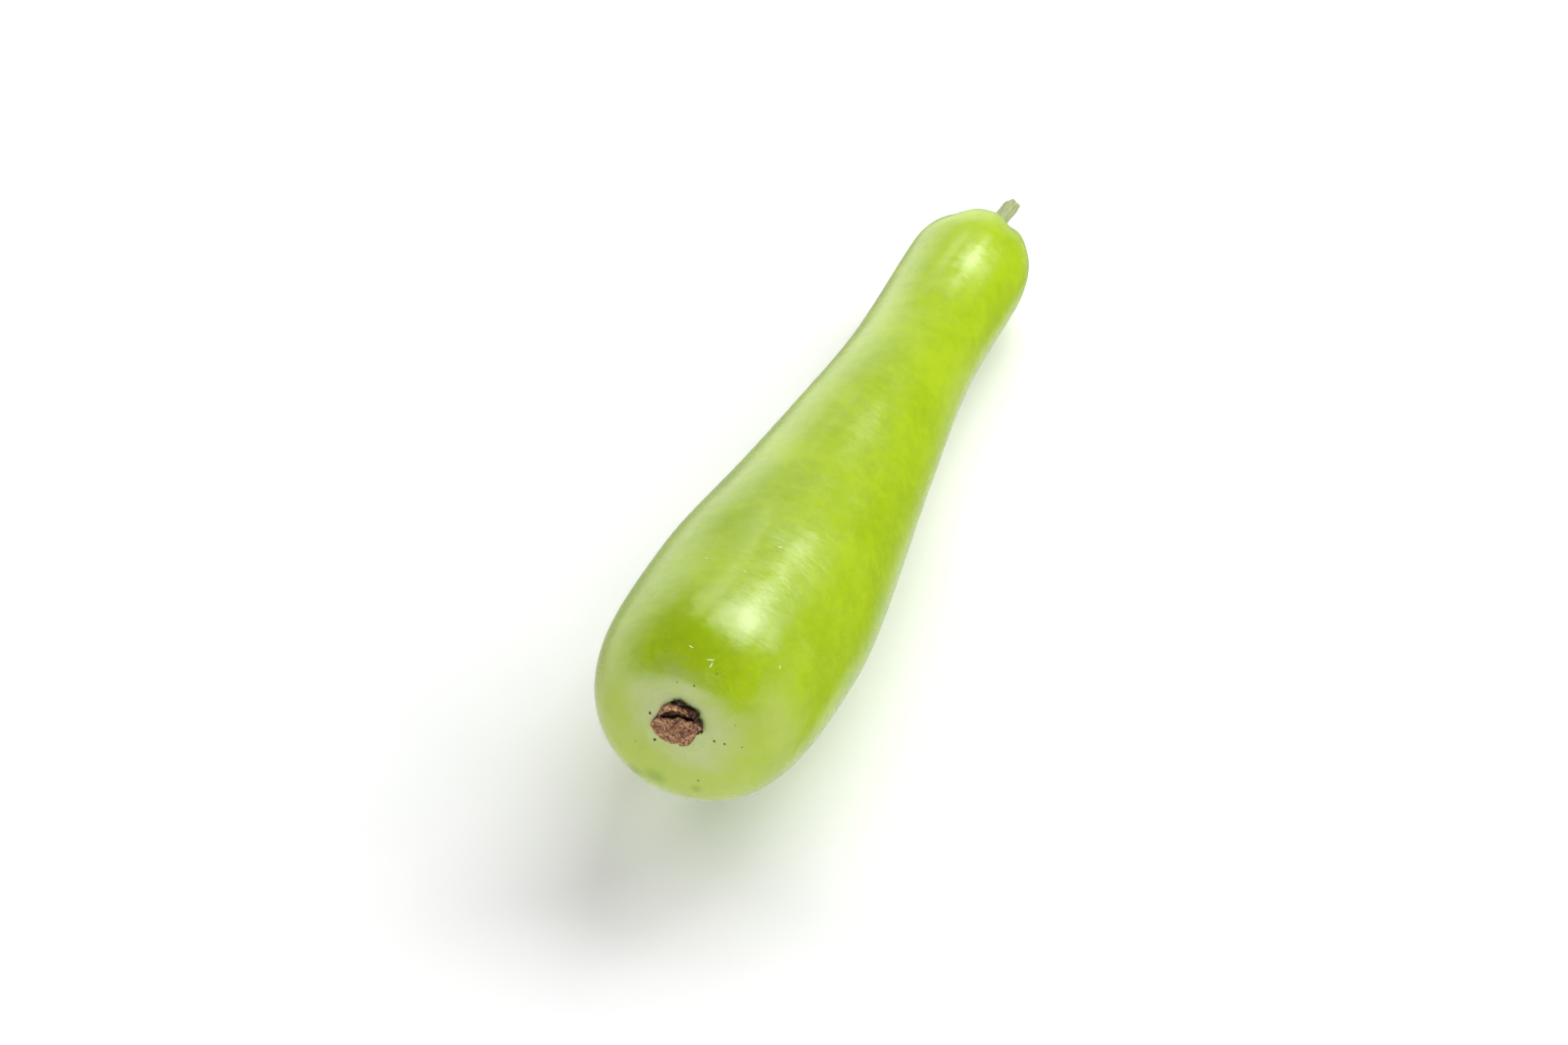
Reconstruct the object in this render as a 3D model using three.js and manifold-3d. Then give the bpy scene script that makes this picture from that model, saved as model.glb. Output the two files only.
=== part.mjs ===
// A bottle gourd, picked with a short length of its stalk and lying on its side.
// Millimetres, +Z up. The blossom end points towards -Y and the stalk towards +Y.
// The gourd rests on z = 0, with the middle of its outer box above the origin.
import * as THREE from 'three';
import { mergeVertices } from 'three/addons/utils/BufferGeometryUtils.js';
import Module from 'manifold-3d';

// Fruit: radii, and distances along its middle line from the blossom end
const BELLY_RADIUS = 44.6;
const BELLY_AT = 87;
const WAIST_RADIUS = 25.7;
const WAIST_AT = 284;
const HEAD_RADIUS = 26.3;
const HEAD_AT = 327;
const FRUIT_LENGTH = 361;

// How far each stretch of the fruit's outline keeps the direction of its two ends
const DOME_PULL = { across: 32.5, along: 46 };
const TAPER_PULL = { belly: 30, waist: 84 };
const NECK_PULL = { waist: 17, head: 18 };
const SHOULDER_PULL = { along: 17, across: 4.5 };

// Middle line of the lying fruit: across, along and height
const MIDDLE_LINE = [
  [0, 0, 62.4],
  [-1, 55, 49],
  [0.1, 130, 42.2],
  [0.7, 200, 40.2],
  [-1.6, 275, 30],
  [-0.3, 358.2, 24],
];

// Blossom end: a shallow seat for the dried flower, a little above the middle line
const SEAT_RADIUS = 10.2;
const SEAT_DEPTH = 1.6;
const SEAT_LIP_RADIUS = 12.8;
const SEAT_LIP_DEPTH = 0.4;
const SEAT_LIP_PULL = 2;
const SEAT_OFFSET = { across: 1.2, up: 6 };
const SEAT_OFFSET_FADES = 31;

// Stem end: a pit between five lobes, parted by furrows that run out over the head.
// The first furrow stands at this angle round the fruit, so that a lobe lies on top.
const PIT_RADIUS = 7.4;
const PIT_DEPTH = 8;
const PIT_LIP_RADIUS = 12;
const PIT_LIP_DEPTH = 3;
const PIT_LIP_PULL = 2;
const LOBE_COUNT = 5;
const FIRST_FURROW = 0.94;
const FURROW_DEPTH = 1.9;
const FURROW_REACH = 32;
const FURROW_SHARPNESS = 5;
const FURROW_FOOT = 4;
const FURROW_SINK = { share: 0.8, reach: 10 };

// Slow unevenness of the skin: size, waves round the fruit, waves along it, start angle
const SWELLS = [
  [0.45, 2, 0, 0.6],
  [0.3, 3, 1.5, 2.1],
  [0.22, 5, 2.5, 4.0],
];

// Flat spots where the fruit rests
const FLAT_DEPTH = 0.7;
const SLAB = { width: 240, length: 600, thickness: 20 };

// Stalk: radii from its flared foot to its cut end, and its gentle bend
const STALK_LENGTH = 32.5;
const STALK_FOOT_RADIUS = 6.5;
const STALK_RADIUS = 3.05;
const STALK_END_RADIUS = 3.3;
const STALK_FLARE = 11;
const STALK_FLARE_PULL = { width: 0.9, foot: 0.2, neck: 0.4 };
const STALK_SIDE_PULL = { neck: 0.6, end: 0.8 };
const STALK_RIBS = 5;
const STALK_RIB_DEPTH = 0.42;
const STALK_BEND = 3;
const STALK_COUNTER_BEND = 0.6;
const STALK_TWIST = 0.35;
const PITH_RADIUS = 1.5;
const PITH_DEPTH = 1.2;
const STALK_END_BEVEL = 0.6;

// Dried flower: a crumpled disc with a flap that rises to a torn edge, a curled lip above
// the flap, and a ragged fringe round the hollow on the far side of the lip
const FLOWER_RADIUS = 9.7;
const FLOWER_THICKNESS = 1.3;
const FLOWER_RAGGED = 0.5;
const FLAP_RISE = 3.6;
const FLAP_CENTRE = -0.8;
const FLAP_HALF_WIDTH = 9.5;
const FLAP_FOOT = -9;
const FLAP_EDGE = 1.3;
const FLAP_DROP = 0.8;
const LIP_RISE = 3;
const LIP_RADIUS = 6.2;
const LIP_HALF_WIDTH = 1.7;
const LIP_CENTRE = [-1.6, -1];
const LIP_ENDS = [2.4, 4.2];
const FRINGE_RISE = 2.4;
const FRINGE_RADIUS = 8.3;
const FRINGE_HALF_WIDTH = 1.8;
const FRINGE_SIDE = [-1, 5];
const FLOWER_FOOT_SHARE = 0.96;
const FLOWER_LEAST_RELIEF = -0.9;
const FLOWER_RIM_SHARPNESS = 8;

// Crumples of its top: height, and waves across and up; rags of its rim: waves round, start angle
const CRUMPLE = 0.24;
const CRUMPLE_WAVES = [[2.3, 1.1, 0], [-1.7, 2.9, Math.PI / 2]];
const RIM_RAGS = [[3, 1], [7, 0]];

// Clearance between pieces that lie against each other
const GAP = 0.3;

// Corners closer than this are one
const MERGE_DISTANCE = 1e-4;

// Colour and roughness of each piece
const SKIN = { color: 0xa9cf3a, roughness: 0.42 };
const STALK = { color: 0xa9ba72, roughness: 0.75 };
const DRY_FLOWER = { color: 0x8b5e3f, roughness: 0.9 };

// Fineness of the meshes: faces round each piece, and along each stretch of its outline
const FRUIT_SIDES = 60;
const STALK_SIDES = 40;
const FLOWER_SIDES = 44;
const FLAT_STEPS = 2;
const LIP_STEPS = 3;
const DOME_STEPS = 14;
const TAPER_STEPS = 20;
const NECK_STEPS = 5;
const SHOULDER_STEPS = 9;
const PIT_STEPS = 5;
const FLARE_STEPS = 6;
const STALK_STEPS = 8;
const FLOWER_STEPS = 12;

const wasm = await Module();
wasm.setup();

// Drops the triangles that shrink to nothing once shared corners are merged.
function closedGeometry(geometry) {
  const bare = geometry.clone();
  bare.deleteAttribute('normal');
  bare.deleteAttribute('uv');
  const merged = mergeVertices(bare, MERGE_DISTANCE);
  const corners = merged.index.array;
  const kept = [];
  for (let i = 0; i < corners.length; i += 3) {
    const [a, b, c] = corners.slice(i, i + 3);
    if (a !== b && b !== c && c !== a) kept.push(a, b, c);
  }
  merged.setIndex(kept);
  return merged;
}

function solidOf(geometry) {
  const closed = closedGeometry(geometry);
  const vertProperties = new Float32Array(closed.attributes.position.array);
  const triVerts = new Uint32Array(closed.index.array);
  return new wasm.Manifold(new wasm.Mesh({ numProp: 3, vertProperties, triVerts }));
}

function geometryOf(solid) {
  const mesh = solid.getMesh();
  const geometry = new THREE.BufferGeometry();
  geometry.setAttribute('position', new THREE.BufferAttribute(mesh.vertProperties, mesh.numProp));
  geometry.setIndex([...mesh.triVerts]);
  return geometry;
}

// Moves every point of a geometry by a rule that changes the vector it is given.
function moveEach(geometry, rule) {
  const position = geometry.attributes.position;
  const point = new THREE.Vector3();
  for (let i = 0; i < position.count; i += 1) {
    point.fromBufferAttribute(position, i);
    rule(point);
    position.setXYZ(i, point.x, point.y, point.z);
  }
  return geometry;
}

// Runs curves of (radius, height) end to end, each given with its number of steps.
function outline(stretches) {
  const points = [stretches[0][0].getPoint(0)];
  for (const [curve, steps] of stretches) points.push(...curve.getSpacedPoints(steps).slice(1));
  return points;
}

function bezier(...pairs) {
  return new THREE.CubicBezierCurve(...pairs.map(([radius, height]) => new THREE.Vector2(radius, height)));
}

function straight(from, to) {
  return new THREE.LineCurve(new THREE.Vector2(...from), new THREE.Vector2(...to));
}

// A bump that is 1 at a place and falls smoothly to 0 at a distance from it.
function bump(distance, reach) {
  const t = Math.min(Math.abs(distance) / reach, 1);
  return (1 - t * t) ** 2;
}

const middleLine = new THREE.CatmullRomCurve3(MIDDLE_LINE.map((point) => new THREE.Vector3(...point)));

// The place on the middle line at a distance from the blossom end, with its three directions.
function placeOnLine(distance) {
  const along = THREE.MathUtils.clamp(distance / FRUIT_LENGTH, 0, 1);
  const centre = middleLine.getPointAt(along);
  const forward = middleLine.getTangentAt(along);
  const across = new THREE.Vector3(1, 0, 0).addScaledVector(forward, -forward.x).normalize();
  const upward = new THREE.Vector3().crossVectors(across, forward);
  return { centre, across, forward, upward };
}

// The fruit's half outline, from the middle of the flower's seat to the middle of the stem pit.
function fruitOutline() {
  const pitLip = FRUIT_LENGTH - PIT_LIP_DEPTH;
  const pitFloor = FRUIT_LENGTH - PIT_DEPTH;
  const seatEdge = [SEAT_RADIUS, SEAT_DEPTH];
  const seatLip = [SEAT_LIP_RADIUS, SEAT_LIP_DEPTH];
  const belly = [BELLY_RADIUS, BELLY_AT];
  const waist = [WAIST_RADIUS, WAIST_AT];
  const head = [HEAD_RADIUS, HEAD_AT];
  const crest = [PIT_LIP_RADIUS, pitLip];
  const pitEdge = [PIT_RADIUS, pitFloor];
  return outline([
    [straight([0, SEAT_DEPTH], seatEdge), FLAT_STEPS],
    [bezier(seatEdge, seatEdge, [SEAT_LIP_RADIUS - SEAT_LIP_PULL, SEAT_LIP_DEPTH], seatLip), LIP_STEPS],
    [bezier(seatLip, [SEAT_LIP_RADIUS + DOME_PULL.across, SEAT_LIP_DEPTH],
      [BELLY_RADIUS, BELLY_AT - DOME_PULL.along], belly), DOME_STEPS],
    [bezier(belly, [BELLY_RADIUS, BELLY_AT + TAPER_PULL.belly],
      [WAIST_RADIUS, WAIST_AT - TAPER_PULL.waist], waist), TAPER_STEPS],
    [bezier(waist, [WAIST_RADIUS, WAIST_AT + NECK_PULL.waist],
      [HEAD_RADIUS, HEAD_AT - NECK_PULL.head], head), NECK_STEPS],
    [bezier(head, [HEAD_RADIUS, HEAD_AT + SHOULDER_PULL.along],
      [PIT_LIP_RADIUS + SHOULDER_PULL.across, pitLip], crest), SHOULDER_STEPS],
    [bezier(crest, [PIT_LIP_RADIUS - PIT_LIP_PULL, pitLip], [PIT_RADIUS, pitLip], pitEdge), PIT_STEPS],
    [straight(pitEdge, [0, pitFloor]), FLAT_STEPS],
  ]);
}

// Presses the furrows in round the stem end, and the slow swells in everywhere else.
function roughenFruit(point) {
  const angle = Math.atan2(point.z, point.x);
  const radius = Math.hypot(point.x, point.z);
  if (radius <= PIT_RADIUS) return;
  const valley = Math.abs(Math.cos(((angle - FIRST_FURROW) * LOBE_COUNT) / 2)) ** FURROW_SHARPNESS;
  const nearPit = bump(FRUIT_LENGTH - PIT_LIP_DEPTH - point.y, FURROW_REACH);
  const offFloor = Math.min((radius - PIT_RADIUS) / FURROW_FOOT, 1);
  const press = FURROW_DEPTH * valley * nearPit * offFloor;
  let swell = 0;
  for (const [size, round, along, start] of SWELLS) {
    swell += size * Math.cos(round * angle + (along * 2 * Math.PI * point.y) / FRUIT_LENGTH + start);
  }
  const factor = 1 + (swell * Math.min(radius / BELLY_RADIUS, 1) - press) / radius;
  point.x *= factor;
  point.z *= factor;
  point.y -= press * FURROW_SINK.share * bump(radius - PIT_LIP_RADIUS, FURROW_SINK.reach);
}

// Slides the blossom end sideways, so that its seat stands off the middle line.
function offsetSeat(point) {
  if (point.y > BELLY_AT) return;
  const radius = Math.hypot(point.x, point.z);
  const share = 1 - THREE.MathUtils.smoothstep(radius, SEAT_LIP_RADIUS, SEAT_OFFSET_FADES);
  point.x += SEAT_OFFSET.across * share;
  point.z += SEAT_OFFSET.up * share;
}

function bendToLine(point) {
  const { centre, across, upward } = placeOnLine(point.y);
  const { x, z } = point;
  point.copy(centre).addScaledVector(across, x).addScaledVector(upward, z);
}

function fruitGeometry() {
  const lathe = new THREE.LatheGeometry(fruitOutline(), FRUIT_SIDES);
  moveEach(lathe, roughenFruit);
  moveEach(lathe, offsetSeat);
  moveEach(lathe, bendToLine);
  return lathe;
}

// Cuts the fruit level a little above its lowest point, which leaves its flat spots.
function cutFlat(fruit) {
  fruit.computeBoundingBox();
  const { min, max } = fruit.boundingBox;
  const floor = min.z + FLAT_DEPTH;
  const slab = new THREE.BoxGeometry(SLAB.width, SLAB.length, SLAB.thickness);
  slab.translate(0, (min.y + max.y) / 2, floor - SLAB.thickness / 2);
  return { geometry: geometryOf(solidOf(fruit).subtract(solidOf(slab))), floor };
}

function stalkGeometry() {
  const neck = [STALK_RADIUS, STALK_FLARE];
  const shoulder = [STALK_END_RADIUS, STALK_LENGTH - STALK_END_BEVEL];
  const rim = [STALK_END_RADIUS - STALK_END_BEVEL, STALK_LENGTH];
  const points = outline([
    [straight([0, 0], [STALK_FOOT_RADIUS, 0]), FLAT_STEPS],
    [bezier([STALK_FOOT_RADIUS, 0],
      [STALK_FOOT_RADIUS * STALK_FLARE_PULL.width, STALK_FLARE * STALK_FLARE_PULL.foot],
      [STALK_RADIUS, STALK_FLARE * STALK_FLARE_PULL.neck], neck), FLARE_STEPS],
    [bezier(neck, [STALK_RADIUS, STALK_LENGTH * STALK_SIDE_PULL.neck],
      [STALK_RADIUS, STALK_LENGTH * STALK_SIDE_PULL.end], shoulder), STALK_STEPS],
    [straight(shoulder, rim), 1],
    [straight(rim, [PITH_RADIUS, STALK_LENGTH]), 1],
    [straight([PITH_RADIUS, STALK_LENGTH], [0, STALK_LENGTH - PITH_DEPTH]), 1],
  ]);
  const lathe = new THREE.LatheGeometry(points, STALK_SIDES);
  return moveEach(lathe, (point) => {
    const angle = Math.atan2(point.z, point.x);
    const radius = Math.hypot(point.x, point.z);
    const height = point.y / STALK_LENGTH;
    const rib = Math.cos(STALK_RIBS * angle) * STALK_RIB_DEPTH * Math.min(radius / STALK_RADIUS, 1);
    const turned = angle + STALK_TWIST * height;
    const lean = STALK_BEND * height * (height - STALK_COUNTER_BEND);
    point.x = (radius + rib) * Math.cos(turned) + lean;
    point.z = (radius + rib) * Math.sin(turned);
  });
}

// Height of the dried flower above its seat, at a place on it.
function flowerRelief(across, up) {
  const { smoothstep } = THREE.MathUtils;
  const radius = Math.hypot(across, up);
  const inside = 1 - Math.min(radius / FLOWER_RADIUS, 1) ** FLOWER_RIM_SHARPNESS;
  const below = 1 - smoothstep(up, FLAP_EDGE, FLAP_EDGE + FLAP_DROP);
  const flapWidth = bump(across - FLAP_CENTRE, FLAP_HALF_WIDTH);
  const flap = FLAP_RISE * smoothstep(up, FLAP_FOOT, FLAP_EDGE) * below * flapWidth;
  const lipDistance = Math.hypot(across - LIP_CENTRE[0], up - LIP_CENTRE[1]) - LIP_RADIUS;
  const lipSpan = (1 - below) * (1 - smoothstep(across, ...LIP_ENDS));
  const lip = LIP_RISE * bump(lipDistance, LIP_HALF_WIDTH) * lipSpan;
  const farSide = smoothstep(across + up, ...FRINGE_SIDE);
  const fringe = FRINGE_RISE * bump(radius - FRINGE_RADIUS, FRINGE_HALF_WIDTH) * farSide;
  let relief = Math.max(flap, lip, fringe) * inside;
  for (const [sideways, upwards, start] of CRUMPLE_WAVES) {
    relief += CRUMPLE * Math.sin(sideways * across + upwards * up + start);
  }
  return relief;
}

function driedFlowerGeometry() {
  const points = outline([
    [straight([0, 0], [FLOWER_RADIUS, 0]), FLAT_STEPS],
    [straight([FLOWER_RADIUS, 0], [FLOWER_RADIUS, FLOWER_THICKNESS]), 1],
    [straight([FLOWER_RADIUS, FLOWER_THICKNESS], [0, FLOWER_THICKNESS]), FLOWER_STEPS],
  ]);
  const lathe = new THREE.LatheGeometry(points, FLOWER_SIDES);
  return moveEach(lathe, (point) => {
    const angle = Math.atan2(point.z, point.x);
    const radius = Math.hypot(point.x, point.z);
    let ragged = 0;
    for (const [waves, start] of RIM_RAGS) ragged += FLOWER_RAGGED * Math.sin(waves * angle + start);
    const onTop = point.y > 0;
    const spread = onTop ? 1 + (ragged * radius) / FLOWER_RADIUS ** 2 : FLOWER_FOOT_SHARE;
    if (onTop) point.y += Math.max(flowerRelief(point.x, -point.z), FLOWER_LEAST_RELIEF);
    point.x *= spread;
    point.z *= spread;
  });
}

function mesh(name, geometry, finish) {
  const material = new THREE.MeshStandardMaterial({ ...finish, metalness: 0 });
  const part = new THREE.Mesh(geometry, material);
  part.name = name;
  return part;
}

// Stands a piece, built along its own +Y, on the middle line at a distance from the blossom end.
// It stands out along the line, or against it and upside down when outward is -1.
function standOnLine(part, distance, outward, offset = { across: 0, up: 0 }) {
  const { centre, across, forward, upward } = placeOnLine(distance);
  part.position.copy(centre).addScaledVector(across, offset.across).addScaledVector(upward, offset.up);
  forward.multiplyScalar(outward);
  upward.multiplyScalar(outward);
  part.quaternion.setFromRotationMatrix(new THREE.Matrix4().makeBasis(across, forward, upward));
}

function bottleGourd() {
  const { geometry, floor } = cutFlat(fruitGeometry());
  const fruit = mesh('fruit', geometry, SKIN);
  const stalk = mesh('stem', closedGeometry(stalkGeometry()), STALK);
  standOnLine(stalk, FRUIT_LENGTH - PIT_DEPTH + GAP, 1);
  const flower = mesh('dried_flower', closedGeometry(driedFlowerGeometry()), DRY_FLOWER);
  standOnLine(flower, SEAT_DEPTH - GAP, -1, SEAT_OFFSET);

  const gourd = new THREE.Group();
  gourd.add(fruit, stalk, flower);
  gourd.updateMatrixWorld(true);
  const box = new THREE.Box3().setFromObject(gourd, true);
  gourd.position.set(-(box.min.x + box.max.x) / 2, -(box.min.y + box.max.y) / 2, -floor);
  return gourd;
}

export default bottleGourd();
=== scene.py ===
"""Bottle gourd lying on a pale floor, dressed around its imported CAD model.

The skin and the stalk are finer copies of the CAD solids. The dried flower,
the collar round the stalk, the hairs and the small marks are built new, in
the places that the solids give them. Lengths are in metres.
"""

import logging
import math
import random
from collections.abc import Callable, Iterable
from dataclasses import dataclass
from enum import Enum

import bmesh
import bpy
from bmesh.types import BMesh, BMFace
from bpy.types import Material, Node, NodeSocket, Object, World
from mathutils import Matrix, Vector, noise
from mathutils.bvhtree import BVHTree


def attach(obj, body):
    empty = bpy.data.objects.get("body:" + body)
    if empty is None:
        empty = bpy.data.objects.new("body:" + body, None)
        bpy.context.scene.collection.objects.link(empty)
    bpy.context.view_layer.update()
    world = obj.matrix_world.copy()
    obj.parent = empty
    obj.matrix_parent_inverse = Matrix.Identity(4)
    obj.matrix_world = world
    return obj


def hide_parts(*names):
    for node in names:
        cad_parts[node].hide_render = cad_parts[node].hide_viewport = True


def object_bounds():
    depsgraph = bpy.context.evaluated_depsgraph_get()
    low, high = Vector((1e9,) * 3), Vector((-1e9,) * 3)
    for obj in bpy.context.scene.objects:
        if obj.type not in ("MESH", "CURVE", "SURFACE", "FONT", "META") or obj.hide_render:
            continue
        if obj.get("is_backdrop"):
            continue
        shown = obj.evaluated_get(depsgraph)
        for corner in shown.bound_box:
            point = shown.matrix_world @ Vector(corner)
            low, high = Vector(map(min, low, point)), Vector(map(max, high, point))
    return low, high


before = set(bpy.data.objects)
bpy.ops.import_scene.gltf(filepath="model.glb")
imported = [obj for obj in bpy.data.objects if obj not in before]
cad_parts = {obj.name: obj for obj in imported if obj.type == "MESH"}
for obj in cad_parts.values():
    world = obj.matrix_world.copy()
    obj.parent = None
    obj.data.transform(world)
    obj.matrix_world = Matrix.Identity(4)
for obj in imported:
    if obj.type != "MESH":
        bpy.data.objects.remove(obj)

MM = 0.001
BODY = "root"
MERGE_DISTANCE = 0.002 * MM
SPIN_MERGE_DISTANCE = 0.001 * MM
JOIN_BEND = math.radians(35)
JOIN_SKEW = math.radians(50)
MIDDLE_CREST = 0.6
RIM_SHARPNESS = 6
# Without a number of its own, Blender starts the folds' noise from the clock.
FOLD_SEED = 1795853163
Colour = tuple[float, float, float]
Pair = tuple[float, float]

log = logging.getLogger("gourd")


class Solid(Enum):
    """The CAD nodes of the gourd."""

    FRUIT = "fruit"
    STALK = "stem"
    FLOWER = "dried_flower"


class Slot(Enum):
    """The material slots that the record names."""

    SKIN = "skin"
    STALK = "stalk"
    FLOWER = "dried_flower"


class Reach(Enum):
    """The surfaces that a lamp reaches, each with how far off it hangs."""

    GLOSS = 4.0
    MATT = 1.8


@dataclass(frozen=True)
class Seat:
    """A spot on the gourd with its own directions.

    Attributes:
        centre: Middle of the spot.
        right: Direction across the gourd.
        up: Direction over the gourd, square to the other two.
        out: Direction away from the flesh.
    """

    centre: Vector
    right: Vector
    up: Vector
    out: Vector

    def place(self, right: float, up: float, out: float) -> Vector:
        """The point that lies so far from the centre in the three directions."""
        return self.centre + self.right * right + self.up * up + self.out * out

    def local(self, point: Vector) -> tuple[float, float, float]:
        """How far a point lies from the centre in the three directions."""
        arm = point - self.centre
        return arm.dot(self.right), arm.dot(self.up), arm.dot(self.out)


FLOWER_SEAT = Seat(
    centre=Vector((2.043, -187.533, 67.126)) * MM,
    right=Vector((0.99983, 0.01789, -0.00443)),
    up=Vector((0.0, 0.24014, 0.97074)),
    out=Vector((0.01843, -0.97057, 0.2401)),
)
STALK_SEAT = Seat(
    centre=Vector((0.432, 160.257, 23.751)) * MM,
    right=Vector((0.99982, -0.01908, 0.00128)),
    up=Vector((0.0, 0.06707, 0.99775)),
    out=Vector((0.01913, 0.99757, -0.06706)),
)


def smooth_step(value: float, start: float, end: float) -> float:
    """Rises softly from 0 at start to 1 at end.

    Args:
        value: The number to place between start and end.
        start: Where the rise begins.
        end: Where the rise is over.

    Returns:
        A share from 0 to 1.
    """
    share = min(max((value - start) / (end - start), 0.0), 1.0)
    return share * share * (3 - 2 * share)


def ridge(place: Vector) -> float:
    """Crumpled noise from 0 in the creases to 1 on the crests.

    Args:
        place: Where the noise is read.

    Returns:
        The height, without a unit.
    """
    swirl_pitch, swirl, fine_pitch, fine_share = 0.7, 0.6, 2.4, 0.38
    warped = place + noise.noise_vector(place * swirl_pitch) * swirl
    coarse = (1 - abs(noise.noise(warped))) ** 2
    fine = (1 - abs(noise.noise(warped * fine_pitch + Vector((4.0, 1.0, 7.0))))) ** 2
    return (1 - fine_share) * coarse + fine_share * fine


def bearing(azimuth: float, elevation: float) -> Vector:
    """The way that points so many degrees off the gourd's length and above level."""
    turn, rise = math.radians(azimuth), math.radians(elevation)
    return Vector((math.sin(turn) * math.cos(rise), math.cos(turn) * math.cos(rise),
                   math.sin(rise)))


def solid_copy(solid: Solid) -> BMesh:
    """Copies a CAD node into a mesh of its own, with its loose triangles merged.

    Args:
        solid: The node to copy.

    Returns:
        The copy, mostly of four-sided faces. The caller frees it.
    """
    shape = bmesh.new()
    shape.from_mesh(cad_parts[solid.value].data)
    bmesh.ops.remove_doubles(shape, verts=shape.verts[:], dist=MERGE_DISTANCE)
    bmesh.ops.join_triangles(shape, faces=shape.faces[:], angle_face_threshold=JOIN_BEND,
                             angle_shape_threshold=JOIN_SKEW)
    return shape


def subdivided(shape: BMesh, levels: int) -> BMesh:
    """Rounds a mesh with a subdivision surface and applies it.

    Args:
        shape: The mesh to round. It is freed.
        levels: How often each face is divided.

    Returns:
        The finer mesh. The caller frees it.
    """
    mesh = bpy.data.meshes.new("draft")
    shape.to_mesh(mesh)
    shape.free()
    draft = bpy.data.objects.new("draft", mesh)
    bpy.context.scene.collection.objects.link(draft)
    rounding = draft.modifiers.new("rounding", "SUBSURF")
    rounding.levels = rounding.render_levels = levels
    bpy.context.view_layer.update()
    finer = bmesh.new()
    finer.from_object(draft, bpy.context.evaluated_depsgraph_get())
    bpy.data.objects.remove(draft)
    bpy.data.meshes.remove(mesh)
    return finer


def finished_piece(name: str, shape: BMesh, finish: Material, slot: Slot) -> Object:
    """Turns a mesh into a piece that rides on the gourd.

    Args:
        name: The name of the piece.
        shape: Its mesh, in place. It is freed.
        finish: The material that it wears.
        slot: The record's slot that the material stands for. It is not used.

    Returns:
        The new object, at the origin, unturned and unscaled.
    """
    mesh = bpy.data.meshes.new(name)
    for face in shape.faces:
        face.smooth = True
    shape.to_mesh(mesh)
    shape.free()
    mesh.materials.append(finish)
    piece = bpy.data.objects.new(name, mesh)
    bpy.context.scene.collection.objects.link(piece)
    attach(piece, BODY)
    triangles = sum(len(face.vertices) - 2 for face in mesh.polygons)
    log.info("%s: %d triangles", name, triangles)
    return piece


def joined(parts: Iterable[BMesh]) -> BMesh:
    """Puts several meshes into one.

    Args:
        parts: The meshes. They are freed.

    Returns:
        One mesh that holds them all. The caller frees it.
    """
    whole = bmesh.new()
    for part in parts:
        mesh = bpy.data.meshes.new("part")
        part.to_mesh(mesh)
        part.free()
        whole.from_mesh(mesh)
        bpy.data.meshes.remove(mesh)
    return whole


def rolled(radius: float, width: float, sides: int, steps: int,
           span: Pair = (0.0, 2 * math.pi), stretch: float = 1.0) -> BMesh:
    """Spins a small circle round a bigger one.

    Args:
        radius: The radius of the bigger circle.
        width: The radius of the small circle.
        sides: How many faces go round the roll.
        steps: How many rings of faces it has.
        span: The angles where it starts and ends. A full turn closes it, and
            otherwise its ends are capped.
        stretch: How many times taller the small circle is than wide.

    Returns:
        The roll, lying flat about the origin. The caller frees it.
    """
    start, end = span
    full = end - start >= 2 * math.pi
    roll = bmesh.new()
    bmesh.ops.create_circle(roll, cap_ends=not full, segments=sides, radius=width)
    verts = roll.verts[:]
    bmesh.ops.rotate(roll, verts=verts, matrix=Matrix.Rotation(math.pi / 2, 3, "X"))
    bmesh.ops.scale(roll, verts=verts, vec=(1.0, 1.0, stretch))
    bmesh.ops.translate(roll, verts=verts, vec=(radius, 0, 0))
    bmesh.ops.rotate(roll, verts=verts, matrix=Matrix.Rotation(start, 3, "Z"))
    bmesh.ops.spin(roll, geom=roll.faces[:] + roll.edges[:] + verts, axis=(0, 0, 1),
                   cent=(0, 0, 0), angle=end - start, steps=steps, use_merge=full)
    bmesh.ops.remove_doubles(roll, verts=roll.verts[:], dist=SPIN_MERGE_DISTANCE)
    return roll


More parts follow.
